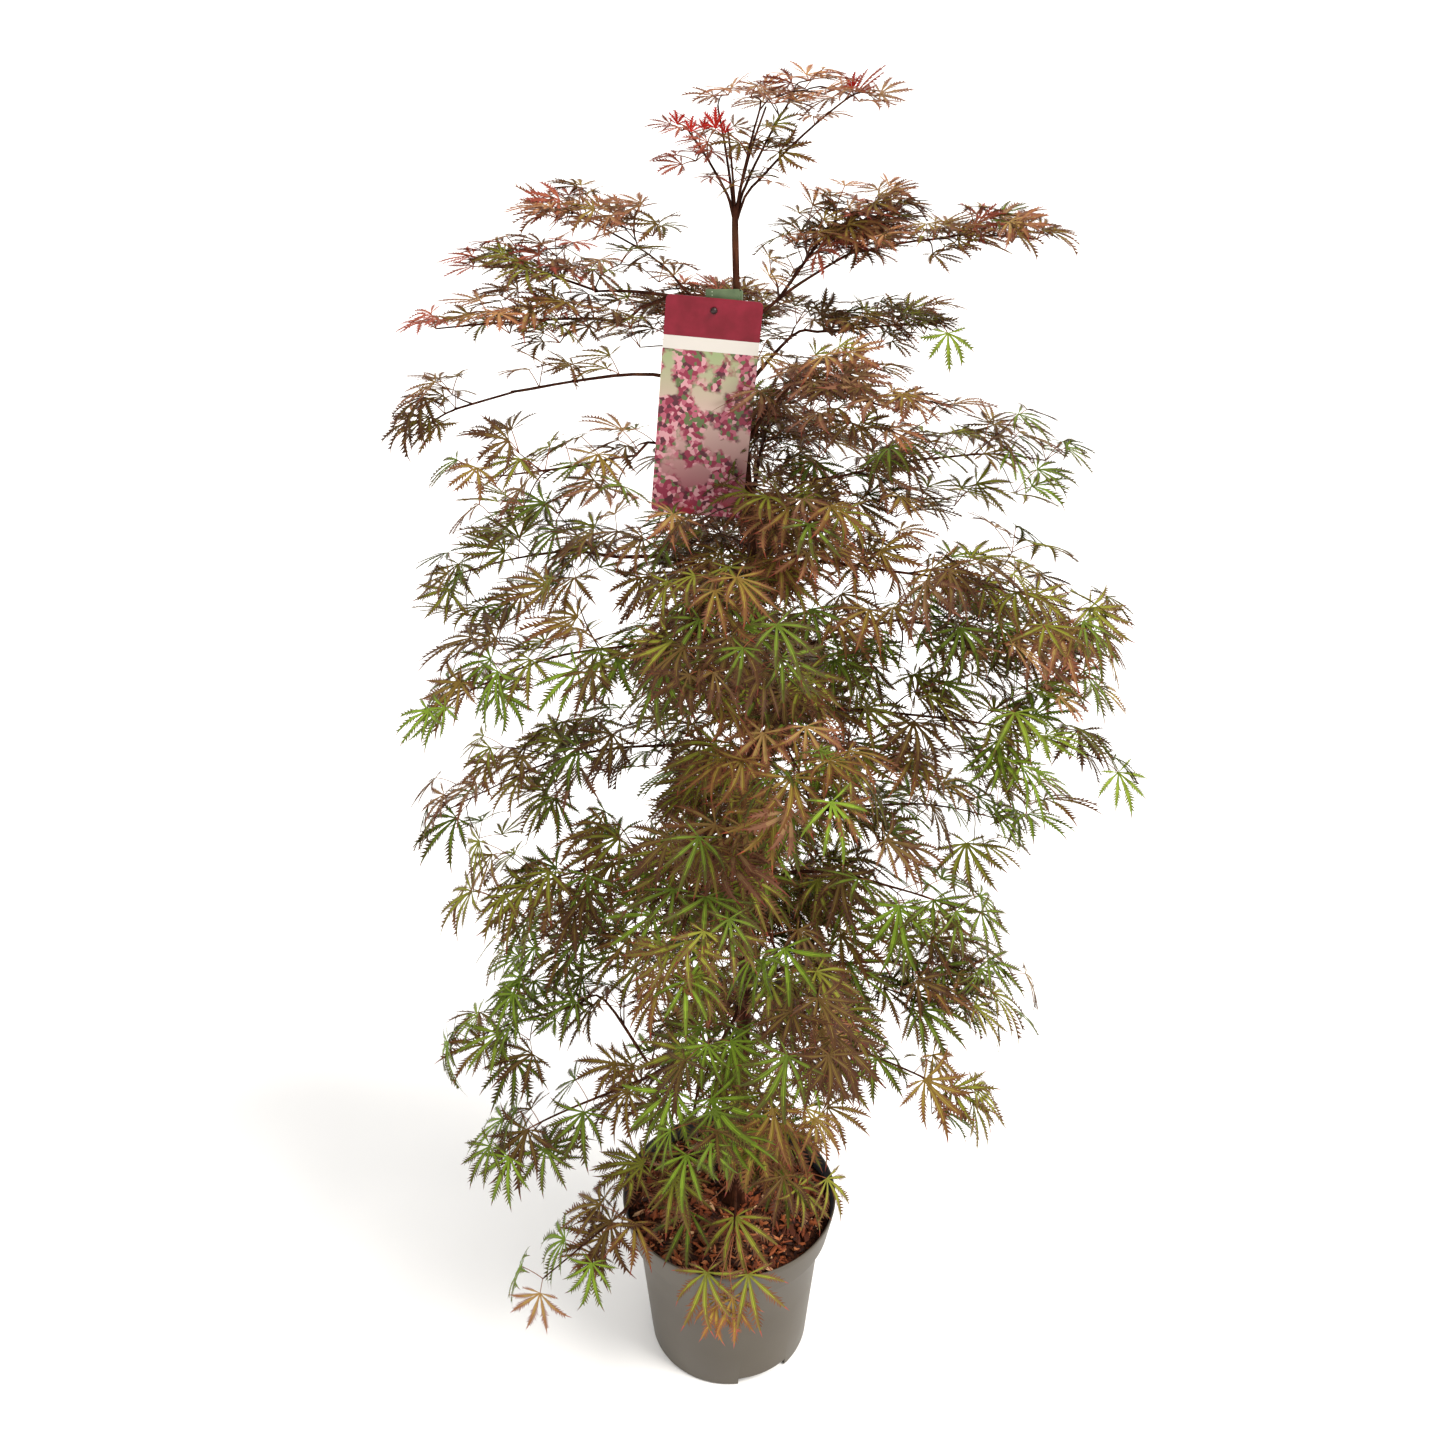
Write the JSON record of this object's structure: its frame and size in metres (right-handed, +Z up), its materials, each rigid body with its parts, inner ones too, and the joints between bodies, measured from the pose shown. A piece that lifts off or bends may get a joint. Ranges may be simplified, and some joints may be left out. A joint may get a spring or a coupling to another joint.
{
  "type": "potted laceleaf japanese maple",
  "caption": "Young laceleaf Japanese maple with a slim trunk, tiers of drooping cut-leaf foliage and a hanging plant tag, in a round grey nursery pot.",
  "frame": {"origin": "centre of the pot's flat underside", "axes": "+Z up along the trunk, -Y towards the viewer of the picture, +X to that viewer's right"},
  "size_m": [0.7331, 0.5831, 1.4227],
  "materials": {
    "pot": "satin",
    "soil": "rough damp bark chips",
    "bark": "rough",
    "tie": "satin",
    "tag": "printed gloss",
    "foliage_bronze": "matte",
    "foliage_olive": "matte",
    "foliage_green": "matte",
    "foliage_red": "matte"
  },
  "bodies": {
    "root": {"pot": "pot", "soil": "soil", "trunk": "bark", "tie": "tie", "tag": "tag", "bough_left_arm": "bark", "bough_left_lower": "bark", "bough_left_middle": "bark", "bough_left_riser": "bark", "bough_left_upper": "bark", "bough_right_arm": "bark", "bough_right_upper": "bark", "stem_far_left": "bark", "stem_far_right": "bark", "stem_left": "bark", "stem_middle": "bark", "stem_right": "bark", "crown_top": "foliage_bronze", "crown_left_red": "foliage_red", "crown_inner": "foliage_bronze", "left_top": "foliage_bronze", "left_upper": "foliage_bronze", "left_wing": "foliage_bronze", "left_streamer": "foliage_bronze", "left_high": "foliage_bronze", "left_middle": "foliage_bronze", "left_shoulder": "foliage_olive", "left_low": "foliage_olive", "left_hip": "foliage_olive", "left_skirt": "foliage_green", "left_lobe": "foliage_green", "left_foot": "foliage_green", "left_trailer": "foliage_green", "right_top": "foliage_bronze", "right_wing": "foliage_bronze", "right_upper": "foliage_bronze", "right_bronze": "foliage_bronze", "right_high": "foliage_bronze", "right_middle": "foliage_bronze", "right_shoulder": "foliage_olive", "right_low": "foliage_olive", "right_hip": "foliage_olive", "right_skirt": "foliage_olive", "right_base": "foliage_green", "right_trailer": "foliage_green", "front_top": "foliage_bronze", "front_high": "foliage_bronze", "front_middle": "foliage_olive", "front_belly": "foliage_olive", "front_low": "foliage_olive", "front_skirt": "foliage_green", "front_foot": "foliage_green", "front_apron": "foliage_green", "back_top": "foliage_bronze", "back_high": "foliage_bronze", "back_middle": "foliage_olive", "back_belly": "foliage_olive", "back_low": "foliage_olive", "back_skirt": "foliage_green", "back_foot": "foliage_green"}
  },
  "joints": []
}
